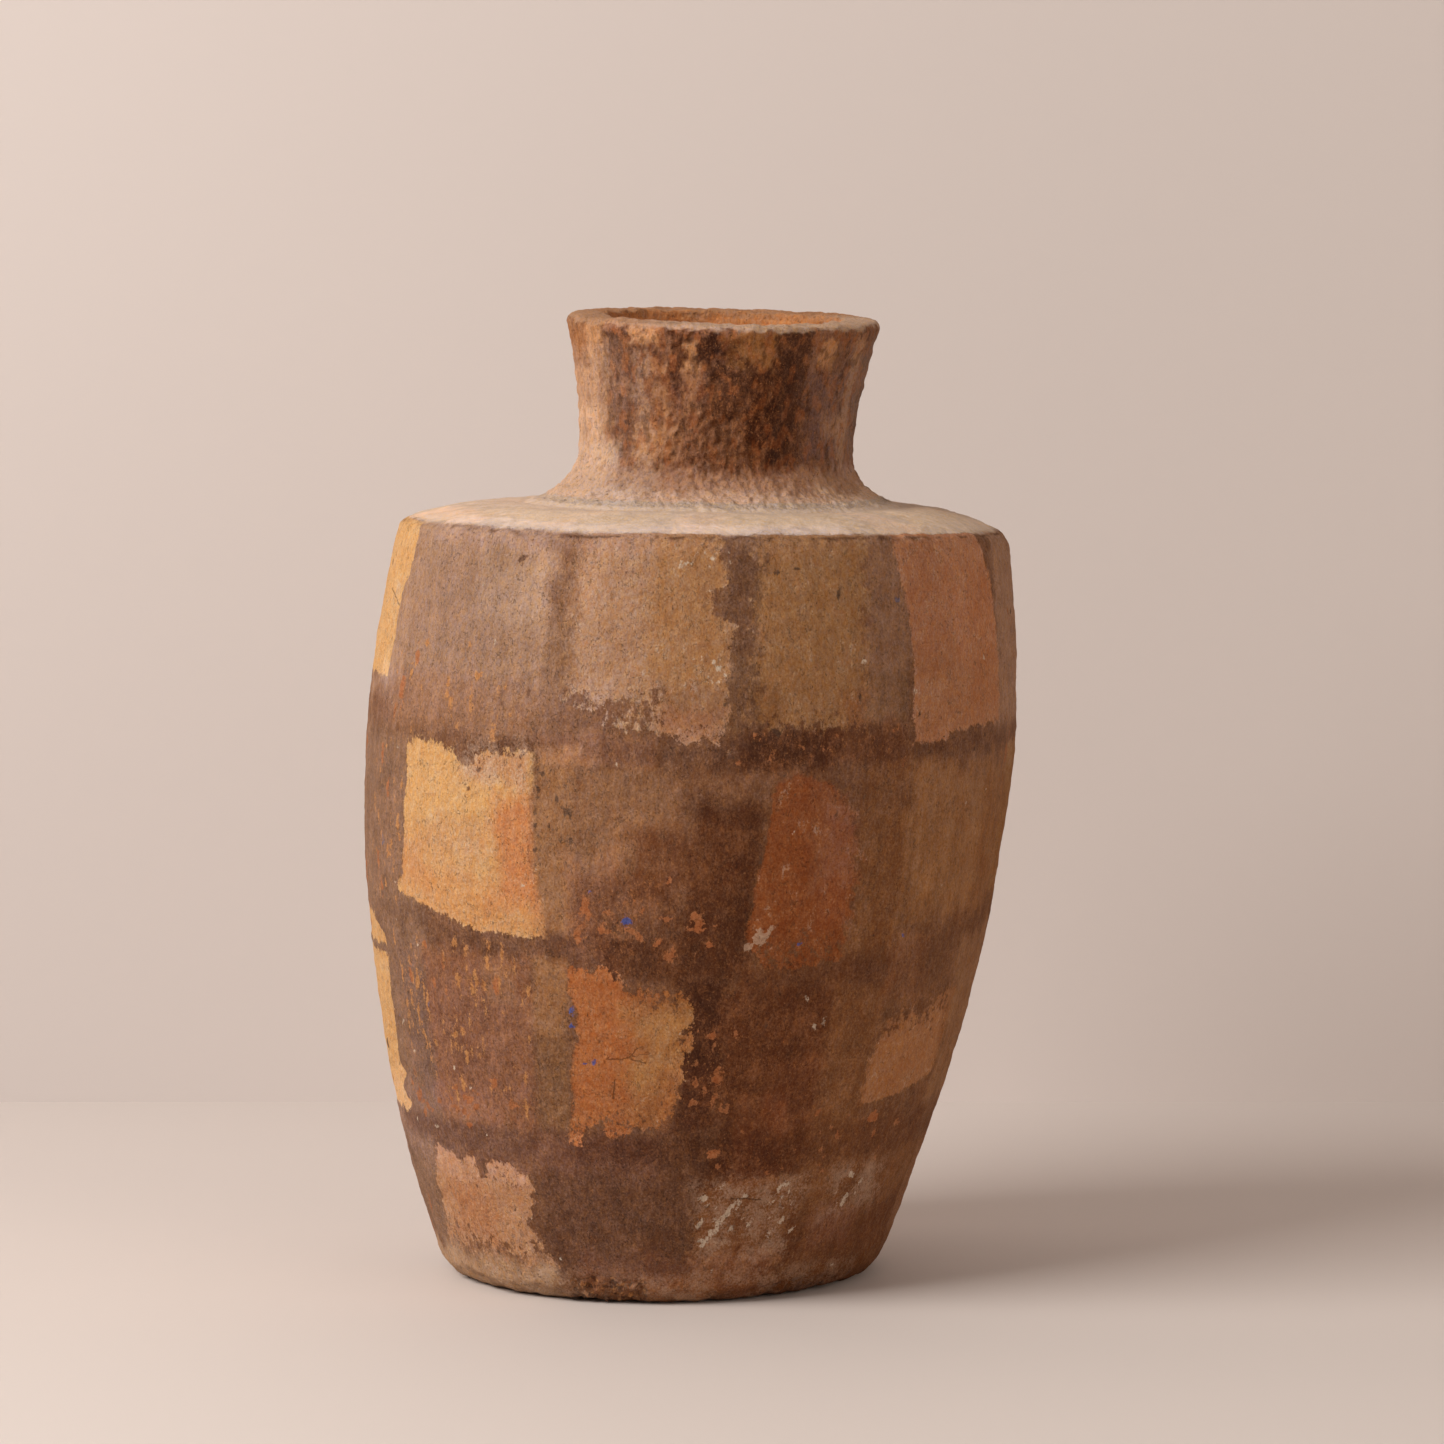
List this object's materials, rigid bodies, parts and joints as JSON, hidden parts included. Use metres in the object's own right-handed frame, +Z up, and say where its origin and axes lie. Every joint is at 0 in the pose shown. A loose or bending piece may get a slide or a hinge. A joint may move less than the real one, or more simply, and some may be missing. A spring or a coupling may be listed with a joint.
{
  "type": "pottery vase",
  "caption": "Leaning hand-built earthenware jar with a broad body, sharp shoulder ridge, waisted neck and thick rounded lip, painted in a worn check of slip.",
  "frame": {"origin": "middle of the flat underside, on the surface that the jar stands on", "axes": "+Z up, +X the way the jar leans and its neck is set over, -Y the side that the picture shows"},
  "size_m": [0.306, 0.3044, 0.4521],
  "materials": {
    "bare_foot": "bare fired clay, scuffed and chipped, matt",
    "painted_wall": "brushed brown slip over ochre, orange and red squares, burnished, worn, nearly matt",
    "dusty_shoulder": "worn slip under dry tan dust, matt",
    "painted_neck": "streaked brown slip over orange clay, mottled, matt",
    "lip_clay": "rubbed clay, greyish tan on top, matt"
  },
  "bodies": {
    "root": {"base_slab": "bare_foot", "wall_course_1": "painted_wall", "wall_course_2": "painted_wall", "wall_course_3": "painted_wall", "wall_course_4": "painted_wall", "shoulder_ring": "dusty_shoulder", "neck_collar": "painted_neck", "rim_coil": "lip_clay"}
  },
  "joints": []
}
